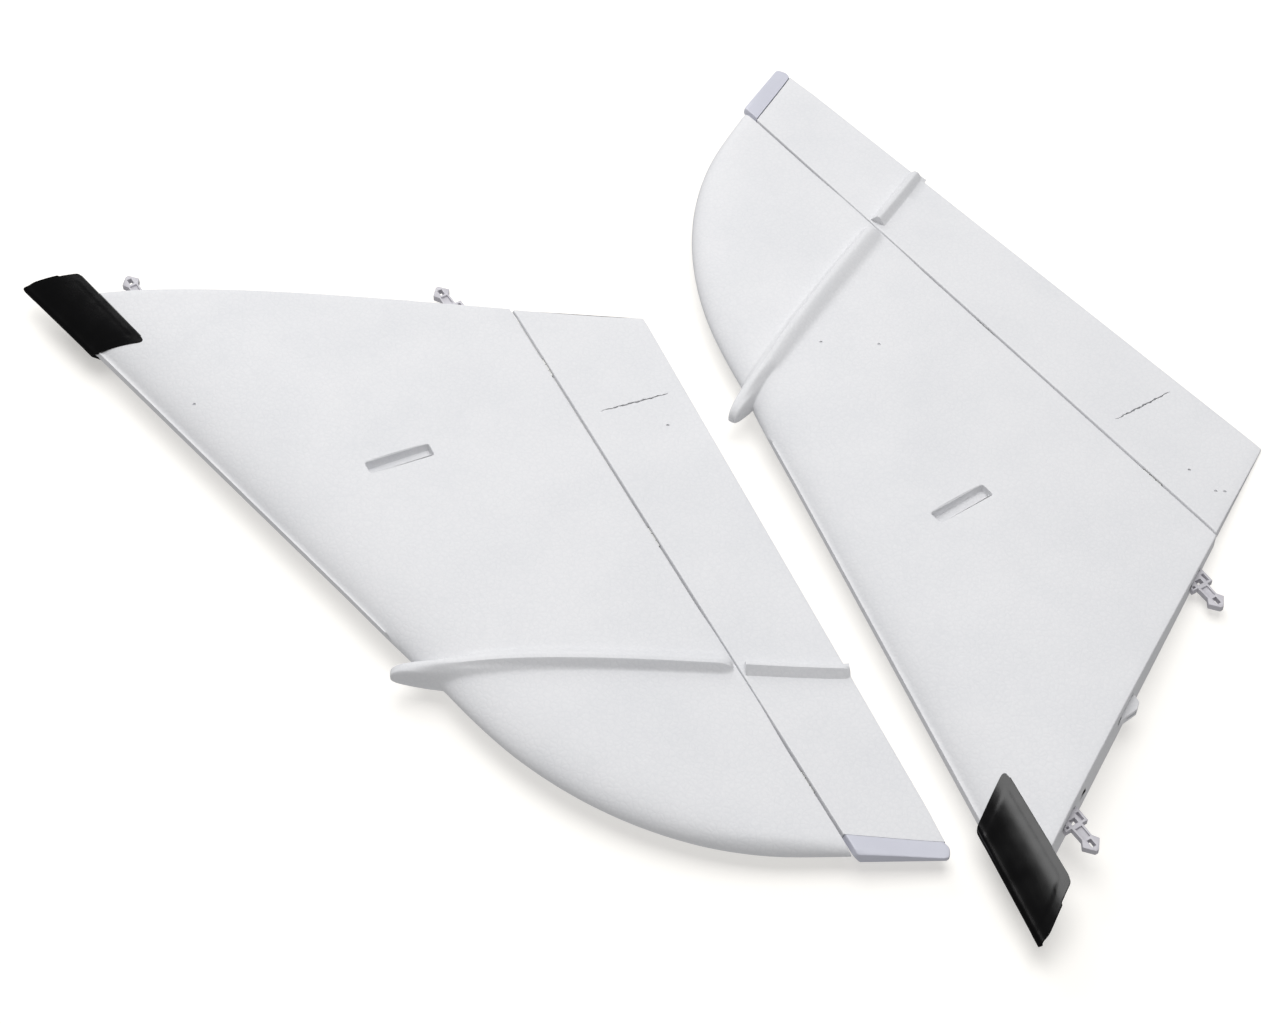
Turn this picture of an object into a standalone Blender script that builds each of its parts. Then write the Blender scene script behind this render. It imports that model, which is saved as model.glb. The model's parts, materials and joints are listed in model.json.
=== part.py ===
"""Left and right wing panels of a small moulded-foam flying wing, laid side by side on a flat surface.

Each panel is drawn once, in its own panel frame, and made twice, the left one mirrored. In the panel frame
X runs aft, Y runs outboard from the flat root face and Z is up from the surface. Lengths are in millimetres
until a mesh is made.
"""

import math

import bmesh
import bpy
from mathutils import Matrix, Vector

MM = 0.001
GAP = 0.3  # clearance between neighbouring pieces

# Each panel's side, where its root trailing edge corner stands in mm, and how far it is turned in degrees.
PLACES = {"left": (-1, 6.7, 97.6, 1.0), "right": (1, 310.4, 9.0, 61.7)}

# Planform.
ROOT_CHORD = 300.0
LEADING_SWEEP = 0.857  # aft travel for each millimetre outboard
TRAILING_SWEEP = 0.393
HINGE_ROOT_X = -67.0
HINGE_SWEEP = 0.4615
FENCE_Y = 230.0  # where the straight leading edge gives way to the curved tip
TIP_CENTRE_X, TIP_CENTRE_Y = 65.0, 27.5
TIP_HALF_CHORD, TIP_HALF_SPAN = 223.0, 300.0
DIHEDRAL = 0.024

# Section.
NOSE_HEIGHT = 0.04  # of the chord
TOP_FULLNESS, TOP_TAPER = 0.177, 1.45
BOTTOM_ROUND = 0.25  # share of the chord over which the underside curves up to the nose
EDGE_THICKNESS = 1.8

# Hinge line.
AXIS_ROOT_Z = 6.9
AXIS_RISE = 0.0131
GROOVE_HALF = 0.9
SHUT_HALF = 0.25
BEVEL = math.tan(math.radians(32))
FENCE_STOP = 2.0  # how far ahead of the axis the fence ends
ELEVON_FENCE_X = 42.3
HINGE_PLACES = (40.0, 150.0, 290.0)
KNUCKLE_R, BORE_R, PIN_R = 1.35, 0.8, 0.5
LEAF_HALF_WIDTH, LEAF_REACH, LEAF_THICKNESS = 6.0, 9.5, 0.8
KNUCKLE_SPLIT = 2.0  # half of the middle knuckle

# Elevon and its tip cap.
ELEVON_ROOT_Y = 0.6
CAP_INNER_Y, CAP_INNER_SKEW = 318.6, 0.035
CAP_OUTER_Y = 328.9
CAP_TAIL_X = 126.6
CAP_SKIN = 0.4
TONGUE_Z = (8.8, 10.2)
TONGUE_Y = 324.5

# Servo arm slot in the panel and the horn slit in the elevon, both square to the hinge line.
SLOT_CENTRE = (-118.3, 110.6)
SLOT_LENGTH, SLOT_WIDTH, SLOT_DEPTH = 32.6, 7.4, 5.5
SLIT_CENTRE = (-5.0, 61.5)
SLIT_LENGTH, SLIT_WIDTH, SLIT_DEPTH = 38.0, 0.9, 2.0

# Nose cap: its span, its wall, and its outer profile from the top's aft edge round the nose to the bottom's
# aft edge, as distances aft of the leading edge and heights, both for the root chord.
NOSE_CAP_Y = (-14.3, 33.6)
NOSE_CAP_WALL = 1.45
NOSE_CAP_PROFILE = (
    (26.0, 24.9), (18.0, 23.5), (11.0, 21.5), (5.0, 19.2), (0.0, 17.0), (-3.0, 15.9),
    (-4.1, 14.3), (-3.5, 12.0), (-1.2, 9.4), (3.0, 6.7), (9.0, 4.4), (15.0, 3.0),
)

# Root fittings.
CLIP_LEAN = 30.0
CLIP_THICKNESS = 3.3
CLIPS = {"front_clip": (-252.5, 15.4), "aft_clip": (-95.4, 4.6)}
TAB_X, TAB_Z = (-192.0, -179.0), (12.0, 17.0)
TAB_DEPTH = 7.0
SPAR_ROOT = Vector((-235.0, 1.0, 13.0))
SPAR_TIP = Vector((-98.0, 202.0, 14.0))
SPAR_R, SPAR_INNER_R = 2.5, 1.5

FOAM = ("white_foam", (0.80, 0.80, 0.81), 0.75)
CAP_PLASTIC = ("grey_cap_plastic", (0.62, 0.63, 0.74), 0.45)
BLACK_PLASTIC = ("gloss_black_plastic", (0.006, 0.006, 0.006), 0.12)
CLIP_PLASTIC = ("grey_clip_plastic", (0.55, 0.54, 0.58), 0.4)
HINGE_PLASTIC = ("white_nylon", (0.75, 0.75, 0.72), 0.4)
CARBON = ("carbon_tube", (0.02, 0.02, 0.02), 0.35)
STEEL = ("steel_wire", (0.55, 0.55, 0.56), 0.3)


def leading_x(y):
    if y <= FENCE_Y:
        return -ROOT_CHORD + LEADING_SWEEP * y
    reach = min(1.0, (y - TIP_CENTRE_Y) / TIP_HALF_SPAN)
    return TIP_CENTRE_X - TIP_HALF_CHORD * math.sqrt(1 - reach * reach)


def hinge_x(y):
    return HINGE_ROOT_X + HINGE_SWEEP * y


def axis_z(y):
    return AXIS_ROOT_Z + AXIS_RISE * y


def lift(y):
    return DIHEDRAL * y


def chord(y):
    return TRAILING_SWEEP * y - leading_x(y)


def top_z(x, y):
    share = max(0.0, (x - leading_x(y)) / chord(y))
    rest = max(0.0, 1 - share)
    camber = NOSE_HEIGHT * rest + TOP_FULLNESS * math.sqrt(share) * rest**TOP_TAPER
    return lift(y) + chord(y) * camber + EDGE_THICKNESS * share


def bottom_z(x, y):
    share = max(0.0, (x - leading_x(y)) / chord(y))
    curl = max(0.0, 1 - math.sqrt(share / BOTTOM_ROUND))
    return lift(y) + NOSE_HEIGHT * chord(y) * curl * curl


def material(finish):
    name, colour, roughness = finish
    found = bpy.data.materials.get(name)
    if found:
        return found
    made = bpy.data.materials.new(name)
    made.use_nodes = True
    surface = made.node_tree.nodes["Principled BSDF"]
    surface.inputs["Base Color"].default_value = (*colour, 1)
    surface.inputs["Roughness"].default_value = roughness
    surface.inputs["Metallic"].default_value = 1.0 if finish is STEEL else 0.0
    return made


def solid(name, points, faces, finish, side):
    """A mesh object from panel-frame points in mm, mirrored for the left panel."""
    mesh = bpy.data.meshes.new(name)
    mesh.from_pydata([(x * MM, y * MM * side, z * MM) for x, y, z in points], [], faces)
    body = bmesh.new()
    body.from_mesh(mesh)
    bmesh.ops.recalc_face_normals(body, faces=body.faces)
    body.to_mesh(mesh)
    body.free()
    mesh.materials.append(material(finish))
    made = bpy.data.objects.new(name, mesh)
    bpy.context.collection.objects.link(made)
    return made


def loft(rings):
    """Points and faces of the closed body through rings that have equal numbers of points."""
    count = len(rings[0])
    faces = [tuple(range(count)), tuple(range((len(rings) - 1) * count, len(rings) * count))]
    for ring in range(len(rings) - 1):
        base = ring * count
        for k in range(count):
            after = (k + 1) % count
            faces.append((base + k, base + after, base + count + after, base + count + k))
    return [point for ring in rings for point in ring], faces


def prism(outline, low, high):
    return loft([[(x, y, z) for x, y in outline] for z in (low, high)])


def oblong(centre, length, width, along):
    """A rectangle's corners, its length along the given direction."""
    across = (-along[1], along[0])
    return [
        tuple(centre[i] + a * length / 2 * along[i] + b * width / 2 * across[i] for i in (0, 1))
        for a, b in ((-1, -1), (1, -1), (1, 1), (-1, 1))
    ]


def rod(start, end, radius, sides):
    start, end = Vector(start), Vector(end)
    turn = (end - start).to_track_quat("Z", "Y")
    rings = []
    for centre in (start, end):
        ring = []
        for k in range(sides):
            angle = 2 * math.pi * k / sides
            spoke = Vector((radius * math.cos(angle), radius * math.sin(angle), 0))
            ring.append(tuple(centre + turn @ spoke))
        rings.append(ring)
    return loft(rings)


def joined(*shapes):
    """Several separate bodies as one set of points and faces."""
    points, faces = [], []
    for more, rows in shapes:
        faces += [tuple(len(points) + k for k in row) for row in rows]
        points += more
    return points, faces


def combine(target, shape, side, operation="DIFFERENCE"):
    """Cuts a helper body out of the target, or joins it on."""
    helper = solid(target.name + "_" + operation.lower(), *shape, FOAM, side)
    helper.hide_render = True
    helper.display_type = "WIRE"
    step = target.modifiers.new(operation.title(), "BOOLEAN")
    step.operation = operation
    step.object = helper
    return helper


def applied(target):
    """Bakes the target's Booleans into its mesh and removes their helpers."""
    bpy.context.view_layer.update()
    graph = bpy.context.evaluated_depsgraph_get()
    mesh = bpy.data.meshes.new_from_object(target.evaluated_get(graph))
    helpers = [step.object for step in target.modifiers if step.type == "BOOLEAN"]
    target.modifiers.clear()
    target.data = mesh
    for helper in helpers:
        bpy.data.objects.remove(helper)
    return target


def seat(made, parent, origin=Matrix(), base=Matrix()):
    """Gives an object its parent and its own origin. Both frames are given in the panel's frame."""
    made.parent = parent
    made.data.transform(origin.inverted())
    made.matrix_local = base.inverted() @ origin
    return made


def smooth(made, degrees=30.0):
    made.data.shade_smooth()
    made.data.set_sharp_from_angle(angle=math.radians(degrees))
    return made


def empty(name, place, parent=None):
    made = bpy.data.objects.new(name, None)
    made.empty_display_size = 0.02
    bpy.context.collection.objects.link(made)
    made.parent = parent
    made.matrix_local = place
    return made


def hinge_point(y, side):
    return Vector((hinge_x(y), y * side, axis_z(y))) * MM


def hinge_frame(y, side):
    """A frame on the hinge axis, with Y along the axis and X square to it, level and aft."""
    along = (hinge_point(100, side) - hinge_point(0, side)).normalized() * side
    aft = along.cross(Vector((0, 0, 1))).normalized()
    turn = Matrix((aft, along, aft.cross(along))).transposed()
    return Matrix.Translation(hinge_point(y, side)) @ turn.to_4x4()


# Distances square to the hinge line, as distances along X.
ACROSS = math.sqrt(1 + HINGE_SWEEP**2)


def panel_ring(y, thin=1.0):
    """The fixed panel's section, from the hinge groove over the top to the nose and back underneath."""
    nose = leading_x(y)
    groove = hinge_x(y) - GROOVE_HALF * ACROSS
    shut = hinge_x(y) - SHUT_HALF * ACROSS
    top_count, bottom_count = 10, 7
    ring = []
    for k in range(top_count, -1, -1):
        x = nose + (groove - nose) * (k / top_count) ** 2
        ring.append([x, top_z(x, y)])
    for k in range(1, bottom_count + 1):
        x = nose + (shut - nose) * (k / bottom_count) ** 2
        ring.append([x, bottom_z(x, y)])
    ring.append([shut, axis_z(y) + 0.6])
    middle = lift(y) + NOSE_HEIGHT * chord(y)
    return [(x, y, middle + (z - middle) * thin) for x, z in ring]


def fence_y(x):
    return 228.0 + 0.0225 * (84.0 - x)


def fence_top(x):
    """Height of the fence's ridge, which stands a little less proud towards the trailing edge."""
    return top_z(x, fence_y(x)) + 4.8 - 0.008 * max(0.0, x)


def fence_ring(x, centre, half, low, high, shear=0.0):
    """A closed section of the fence across the chord: a narrow rounded ridge on steep, spreading sides."""
    middle, rise = (low + high) / 2, (high - low) / 2
    right = (
        (0.0, 1.0),
        (0.3, 0.97),
        (0.5, 0.8),
        (0.8, 0.25),
        (1.0, -0.2),
        (0.9, -0.6),
        (0.5, -0.92),
        (0.0, -1.0),
    )
    outline = right + tuple((-across, up) for across, up in right[-2:0:-1])
    return [(x + shear * half * a, centre + half * a, middle + rise * u) for a, u in outline]


def panel_fence():
    """The fence on the fixed panel, from its blunt nose ahead of the leading edge back to the hinge line."""
    nose = (
        (-117.8, 229.9, 1.2, 14.6, 18.4),
        (-116.6, 229.9, 2.3, 13.2, 19.7),
        (-114.0, 229.8, 3.0, 12.0, 20.9),
        (-110.0, 229.9, 3.7, 10.8, 22.4),
        (-105.0, 230.6, 4.3, 9.8, 23.9),
        (-97.0, 231.8, 5.0, 9.0, 25.3),
    )
    rings = [fence_ring(*station) for station in nose]
    for x, depth in ((-88.0, 15.0), (-74.0, 11.0), (-46.0, 10.0), (-8.0, 10.0)):
        rings.append(fence_ring(x, fence_y(x), 5.0, fence_top(x) - depth, fence_top(x)))
    end = hinge_x(fence_y(34)) - FENCE_STOP * ACROSS
    rings.append(fence_ring(end, fence_y(end), 4.8, fence_top(end) - 8.0, fence_top(end), HINGE_SWEEP))
    return loft(rings)


def skid():
    """The fence's lower edge, which the panel lands and stands on."""
    rings = []
    for x, foot in ((-80.0, 6.5), (-64.0, 0.0), (14.0, 0.0), (26.0, 5.7)):
        corners = ((-2.5, foot), (2.5, foot), (4.0, 9.0), (-4.0, 9.0))
        rings.append([(x, fence_y(x) + half, z) for half, z in corners])
    return loft(rings)


def clip_outline(margin=0.0):
    """The snap clip's plan, its length along X from the point where its middle crosses the root face."""
    lean = math.radians(CLIP_LEAN)

    def face(across):
        return (GAP - across * math.sin(lean)) / math.cos(lean)

    if margin:
        half = 4.0 + margin
        end = -12.0 - margin
        return [(end, -half), (face(-half) + 2, -half), (face(half) + 2, half), (end, half)]
    right = [(-12.0, -4.0), (face(-4.0), -4.0), (face(-5.9), -5.9), (5.4, -5.9), (5.4, -2.8)]
    right += [(12.2, -2.6), (15.3, -4.6), (19.8, -0.8)]
    left = [(19.8, 0.8), (15.3, 4.6), (12.2, 2.6), (5.4, 2.8), (5.4, 5.9), (face(5.9), 5.9)]
    left += [(face(4.0), 4.0), (-12.0, 4.0)]
    return right + left


def clip_place(x, z, side):
    """The clip's frame: X points out of the root and leans forward."""
    turn = Matrix.Rotation(-side * math.radians(90 + CLIP_LEAN), 4, "Z")
    return Matrix.Translation(Vector((x, 0, z)) * MM) @ turn


def in_clip_frame(outline, x):
    """Clip-frame points as panel-frame points."""
    angle = math.radians(-90 - CLIP_LEAN)
    return [
        (x + a * math.cos(angle) - b * math.sin(angle), a * math.sin(angle) + b * math.cos(angle))
        for a, b in outline
    ]


def rectangle(x0, x1, y0, y1):
    return [(x0, y0), (x1, y0), (x1, y1), (x0, y1)]


def make_clip(name, x, z, side, parent):
    clip = solid(name, *prism(in_clip_frame(clip_outline(), x), z, z + CLIP_THICKNESS), CLIP_PLASTIC, side)
    openings = (
        (rectangle(1.4, 4.2, -1.6, 1.6), -1.0),  # window through the guide
        (rectangle(-0.2, 4.2, 3.3, 4.8), 1.3),  # channels beside the tongue's root
        (rectangle(3.4, 4.6, -4.8, -3.3), 1.3),
        (rectangle(6.3, 12.4, -1.8, 1.8), 2.2),  # recess along the tongue
        (rectangle(13.6, 17.4, -1.1, 1.1), -1.0),  # slot that lets the head spring in
    )
    cuts = [prism(in_clip_frame(box, x), z + floor, z + CLIP_THICKNESS + 1) for box, floor in openings]
    combine(clip, joined(*cuts), side)
    applied(clip)
    return seat(clip, parent, clip_place(x, z, side))


def nose_cap_ring(y, outer, inner, reach=0.0):
    """A C section round the nose, between two distances out from the cap's outer profile.

    Reach carries its two ends further aft.
    """
    nose, size = leading_x(y), chord(y) / ROOT_CHORD
    path = [Vector((nose + x * size, lift(y) + z * size)) for x, z in NOSE_CAP_PROFILE]
    path[0].x += reach
    path[-1].x += reach
    skins = ([], [])
    for k, point in enumerate(path):
        run = path[min(k + 1, len(path) - 1)] - path[max(k - 1, 0)]
        out = Vector((run.y, -run.x)).normalized()
        skins[0].append(point + out * outer)
        skins[1].append(point + out * inner)
    return [(p.x, y, p.y) for p in skins[0] + skins[1][::-1]]


def nose_cap_recess():
    inner = -NOSE_CAP_WALL - GAP
    return loft([nose_cap_ring(y, 4.0, inner, GAP) for y in (-1.0, 17.0, NOSE_CAP_Y[1] + GAP)])


def elevon_ring(y, skew_from=None, grow=0.0, tail=None):
    """The elevon's section from the hinge line aft and back underneath.

    With skew_from, its plane runs along the tip cap's slightly skewed inner edge, from that x. Grow makes it
    thicker all round, and tail is where its rounded trailing edge ends, for the tip cap.
    """
    front_x = hinge_x(y)
    start = front_x + GROOVE_HALF * ACROSS
    rear = TRAILING_SWEEP * y if tail is None else tail
    profile = []
    for share in (0.0, 0.35, 0.7, 1.0):
        x = start + (rear - start) * share
        profile.append((x, top_z(min(x, TRAILING_SWEEP * y), y) + grow))
    if tail is not None:
        profile.append((rear + 1.1, lift(y) + EDGE_THICKNESS / 2))
    drop = axis_z(y) - lift(y)
    start = front_x + (SHUT_HALF + drop * BEVEL) * ACROSS
    for share in (0.0, 0.5, 1.0):
        profile.append((rear + (start - rear) * share, lift(y) + 0.3 - grow))
    profile.append((front_x + SHUT_HALF * ACROSS, axis_z(y) + 0.6))
    if skew_from is None:
        return [(x, y, z) for x, z in profile]
    return [(x, y + CAP_INNER_SKEW * (x - skew_from), z) for x, z in profile]


def elevon_fence():
    end = TRAILING_SWEEP * fence_y(84)
    rings = []
    for x, half, sink in (
        (ELEVON_FENCE_X, 4.6, 0.0),
        (60.0, 4.6, 0.0),
        (end - 2.0, 4.4, 0.0),
        (end - 0.2, 3.4, 0.8),
        (end + 0.7, 1.8, 1.8),
    ):
        low = lift(fence_y(x)) + 0.6 + sink / 2
        rings.append(fence_ring(x, fence_y(x), half, low, fence_top(min(x, end)) - sink))
    return loft(rings)


def hinge_cut(y, direction):
    """Room for a hinge in the foam, on the side of the axis that direction gives, as points in mm."""
    frame = hinge_frame(y, 1)
    knuckles = rod((0, -6.5, 0), (0, 6.5, 0), 1.75, 12)
    reach = direction * (LEAF_REACH + 0.5)
    outline = rectangle(min(0, reach), max(0, reach), -LEAF_HALF_WIDTH - 0.4, LEAF_HALF_WIDTH + 0.4)
    plate = prism(outline, -LEAF_THICKNESS / 2 - GAP, LEAF_THICKNESS / 2 + GAP)

    def placed(shape):
        return [tuple(frame @ (Vector(p) * MM) / MM) for p in shape[0]], shape[1]

    return placed(knuckles), placed(plate)


def leaf_mesh(name, direction):
    """One hinge leaf, in the hinge's own frame. The fixed one has two knuckles, the moving one has one."""
    split = KNUCKLE_SPLIT
    if direction < 0:
        spans = ((-LEAF_HALF_WIDTH, -split - 0.35), (split + 0.35, LEAF_HALF_WIDTH))
    else:
        spans = ((-split, split),)
    plate_start = direction * 1.8
    edges = sorted((plate_start, direction * LEAF_REACH))
    half = LEAF_THICKNESS / 2
    plate = prism(rectangle(*edges, -LEAF_HALF_WIDTH, LEAF_HALF_WIDTH), -half, half)
    leaf = solid(name, *plate, HINGE_PLASTIC, 1)
    for low, high in spans:
        arm = sorted((0.0, direction * 2.4))
        combine(leaf, prism(rectangle(*arm, low, high), -half * 0.98, half * 0.98), 1, "UNION")
        combine(leaf, rod((0, low, 0), (0, high, 0), KNUCKLE_R, 12), 1, "UNION")
    combine(leaf, rod((0, -9, 0), (0, 9, 0), BORE_R, 12), 1)
    applied(leaf)
    mesh = smooth(leaf).data
    bpy.data.objects.remove(leaf)
    return mesh


def make_panel(prefix, side, parent):
    stations = [0.0, 60.0, 120.0, 180.0, FENCE_Y, 236.0, 244.0, 254.0, 264.0, 274.0, 284.0, 293.0, 301.0]
    rings = [panel_ring(y) for y in stations + [308.0, 314.0, 319.0]]
    rings += [panel_ring(y, thin) for y, thin in ((323.0, 0.94), (325.6, 0.8), (327.2, 0.5))]
    panel = solid(prefix + "wing_panel", *loft(rings), FOAM, side)
    combine(panel, panel_fence(), side, "UNION")
    combine(panel, skid(), side, "UNION")
    combine(panel, nose_cap_recess(), side)
    square = (1 / ACROSS, -HINGE_SWEEP / ACROSS)
    slot = oblong(SLOT_CENTRE, SLOT_LENGTH, SLOT_WIDTH, square)
    floor = top_z(*SLOT_CENTRE) - SLOT_DEPTH
    combine(panel, prism(slot, floor, floor + 2 * SLOT_DEPTH), side)
    along = (SPAR_TIP - SPAR_ROOT).normalized()
    combine(panel, rod(SPAR_ROOT - along * 4, SPAR_TIP + along, SPAR_R + GAP, 16), side)
    for x, z in CLIPS.values():
        socket = in_clip_frame(clip_outline(GAP), x)
        combine(panel, prism(socket, z - GAP, z + CLIP_THICKNESS + GAP), side)
    low, high = TAB_Z
    socket = rectangle(TAB_X[0] - GAP, TAB_X[1] + GAP, -2, TAB_DEPTH + GAP)
    combine(panel, prism(socket, low - GAP, high + GAP), side)
    for y in HINGE_PLACES:
        for shape in hinge_cut(y, -1):
            combine(panel, shape, side)
    applied(panel)
    return seat(smooth(panel), parent)


def make_elevon(prefix, side, axis, place):
    end = CAP_INNER_Y
    rings = [elevon_ring(y) for y in (ELEVON_ROOT_Y, 80.0, 160.0, 228.0, 290.0)]
    rings.append(elevon_ring(end - GAP / 2, skew_from=hinge_x(end)))
    elevon = solid(prefix + "elevon", *loft(rings), FOAM, side)
    combine(elevon, elevon_fence(), side, "UNION")
    combine(elevon, tongue(0.0), side, "UNION")
    square = (1 / ACROSS, -HINGE_SWEEP / ACROSS)
    slit = oblong(SLIT_CENTRE, SLIT_LENGTH, SLIT_WIDTH, square)
    floor = top_z(*SLIT_CENTRE) - SLIT_DEPTH
    points, faces = prism(slit, floor, floor + 6 * SLIT_DEPTH)
    before, after = -SLIT_LENGTH / 2, SLIT_LENGTH / 2
    fall = (top_z(after, SLIT_CENTRE[1]) - top_z(before, SLIT_CENTRE[1])) / SLIT_LENGTH
    sloped = [(x, y, z + fall * (x - SLIT_CENTRE[0])) for x, y, z in points]
    combine(elevon, (sloped, faces), side)
    for y in HINGE_PLACES:
        for shape in hinge_cut(y, 1):
            combine(elevon, shape, side)
    applied(elevon)
    return seat(smooth(elevon), axis, place, place)


def tongue(margin):
    """The foam tongue that the tip cap slides over."""
    start = hinge_x(CAP_INNER_Y)
    outline = rectangle(start + 7 - margin, start + 27 + margin, CAP_INNER_Y - 6, TONGUE_Y + margin)
    return prism(outline, TONGUE_Z[0] - margin, TONGUE_Z[1] + margin)


def make_tip_cap(prefix, side, axis, place):
    start = hinge_x(CAP_INNER_Y)
    rings = [
        elevon_ring(CAP_INNER_Y + GAP, start, CAP_SKIN, CAP_TAIL_X - 2.0),
        elevon_ring(CAP_INNER_Y + 3.4, start, CAP_SKIN, CAP_TAIL_X - 0.6),
        elevon_ring(CAP_OUTER_Y - 3.0, None, CAP_SKIN, CAP_TAIL_X),
        elevon_ring(CAP_OUTER_Y - 0.8, None, CAP_SKIN, CAP_TAIL_X - 0.6),
        elevon_ring(CAP_OUTER_Y, None, CAP_SKIN - 0.7, CAP_TAIL_X - 1.4),
    ]
    cap = solid(prefix + "elevon_tip_cap", *loft(rings), CAP_PLASTIC, side)
    combine(cap, tongue(GAP), side)
    applied(cap)
    return seat(smooth(cap), axis, place, place)


def make_nose_cap(prefix, side, parent):
    rings = [nose_cap_ring(y, 0.0, -NOSE_CAP_WALL) for y in (NOSE_CAP_Y[0], 0.0, 17.0, NOSE_CAP_Y[1])]
    cap = solid(prefix + "nose_cap", *loft(rings), BLACK_PLASTIC, side)
    return seat(smooth(cap), parent)


def make_tab(prefix, side, parent):
    """The small hooked tab on the root face, slit along its edge."""
    low, high = TAB_Z
    front, back = TAB_X
    outline = [(front, TAB_DEPTH), (front, -GAP), (-194.5, -GAP), (-184.4, -4.8), (-180.4, -4.2)]
    outline += [(-177.2, -GAP), (back, -GAP), (back, TAB_DEPTH)]
    tab = solid(prefix + "root_tab", *prism(outline, low, high), FOAM, side)
    slit = prism([(-197.0, -2.0), (-184.0, -7.0), (-178.0, -7.0), (-178.0, -2.6)], low + 2.0, low + 2.9)
    combine(tab, slit, side)
    applied(tab)
    place = Matrix.Translation(Vector((-185.0, 0, low)) * MM)
    return seat(tab, parent, place)


def make_spar(prefix, side, parent):
    spar = solid(prefix + "spar_tube", *rod(SPAR_ROOT, SPAR_TIP, SPAR_R, 16), CARBON, side)
    along = (SPAR_TIP - SPAR_ROOT).normalized()
    combine(spar, rod(SPAR_ROOT - along * 2, SPAR_TIP + along * 2, SPAR_INNER_R, 12), side)
    applied(spar)
    mirrored = Vector((SPAR_ROOT.x, SPAR_ROOT.y * side, SPAR_ROOT.z)) * MM
    return seat(smooth(spar), parent, Matrix.Translation(mirrored))


def make_hinges(prefix, side, frame, axis, axis_place, meshes):
    fixed_leaf, moving_leaf, pin = meshes
    for number, y in enumerate(HINGE_PLACES, 1):
        spot = hinge_frame(y, side)
        parts = (
            ("fixed_leaf", fixed_leaf, frame, spot),
            ("moving_leaf", moving_leaf, axis, axis_place.inverted() @ spot),
            ("pin", pin, frame, spot),
        )
        for label, mesh, parent, place in parts:
            made = bpy.data.objects.new(f"{prefix}hinge_{number}_{label}", mesh)
            bpy.context.collection.objects.link(made)
            made.parent = parent
            made.matrix_local = place


def pin_mesh():
    pin = solid("pin", *rod((0, -6.2, 0), (0, 6.2, 0), PIN_R, 10), STEEL, 1)
    mesh = smooth(pin).data
    bpy.data.objects.remove(pin)
    return mesh


def main():
    for old in list(bpy.data.objects):
        bpy.data.objects.remove(old)
    meshes = (leaf_mesh("fixed_leaf", -1), leaf_mesh("moving_leaf", 1), pin_mesh())
    for name, (side, x, y, degrees) in PLACES.items():
        prefix = name + "_"
        turn = Matrix.Rotation(math.radians(degrees), 4, "Z")
        frame = empty(prefix + "panel_frame", Matrix.Translation(Vector((x, y, 0)) * MM) @ turn)
        axis_place = hinge_frame(0, side)
        axis = empty(prefix + "elevon_axis", axis_place, frame)
        make_panel(prefix, side, frame)
        make_elevon(prefix, side, axis, axis_place)
        make_tip_cap(prefix, side, axis, axis_place)
        make_nose_cap(prefix, side, frame)
        make_tab(prefix, side, frame)
        make_spar(prefix, side, frame)
        for clip, (clip_x, clip_z) in CLIPS.items():
            make_clip(prefix + clip, clip_x, clip_z, side, frame)
        make_hinges(prefix, side, frame, axis, axis_place, meshes)


if __name__ == "__main__":
    main()
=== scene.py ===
"""Finished surfaces for a pair of moulded-foam flying wing panels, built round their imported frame.

Each foam and plastic piece is modelled once in a panel's own frame, X aft, Y outboard from the flat root face
and Z up from the ground, and then copied to the left and right panels.
"""

import json
import math

import bpy
import numpy as np
from bpy.props import FloatProperty, FloatVectorProperty, IntProperty, PointerProperty
from bpy.types import Operator, Panel, PropertyGroup
from mathutils import Matrix, Vector


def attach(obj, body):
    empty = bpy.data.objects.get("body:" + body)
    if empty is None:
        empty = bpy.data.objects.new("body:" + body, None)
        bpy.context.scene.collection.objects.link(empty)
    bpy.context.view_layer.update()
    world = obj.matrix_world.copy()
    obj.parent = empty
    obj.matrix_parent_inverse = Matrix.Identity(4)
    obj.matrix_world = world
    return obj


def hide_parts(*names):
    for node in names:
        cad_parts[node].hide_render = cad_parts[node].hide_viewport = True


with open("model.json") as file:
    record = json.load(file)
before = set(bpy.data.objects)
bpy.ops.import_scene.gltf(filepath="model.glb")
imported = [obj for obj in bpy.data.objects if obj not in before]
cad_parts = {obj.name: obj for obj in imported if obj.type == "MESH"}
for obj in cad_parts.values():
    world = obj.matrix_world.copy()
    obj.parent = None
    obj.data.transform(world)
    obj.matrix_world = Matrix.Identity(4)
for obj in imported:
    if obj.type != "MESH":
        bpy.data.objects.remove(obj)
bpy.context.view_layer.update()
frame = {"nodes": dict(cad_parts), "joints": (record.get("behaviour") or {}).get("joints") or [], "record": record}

bl_info = {
    "name": "Foam Wing Panels",
    "version": (1, 0, 0),
    "blender": (4, 5, 0),
    "location": "View3D > Sidebar > Foam Wing",
    "description": "Models the foam, plastic and stage of a pair of flying wing panels",
    "category": "Object",
}

FIXED_BODY = "wing_pair"
SIDES = {"left": -1, "right": 1}


# Values --------------------


def linear(code):
    """A colour's linear values from its sRGB hex code."""
    shares = [int(code[k : k + 2], 16) / 255 for k in (0, 2, 4)]
    return [s / 12.92 if s <= 0.04045 else ((s + 0.055) / 1.055) ** 2.4 for s in shares]


def length(name, description, default):
    return FloatProperty(name=name, description=description, default=default, unit="LENGTH", precision=5)


def ratio(name, description, default):
    return FloatProperty(name=name, description=description, default=default, precision=4)


def colour(name, description, code):
    start = linear(code)
    return FloatVectorProperty(name=name, description=description, default=start, subtype="COLOR", size=3)


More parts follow.
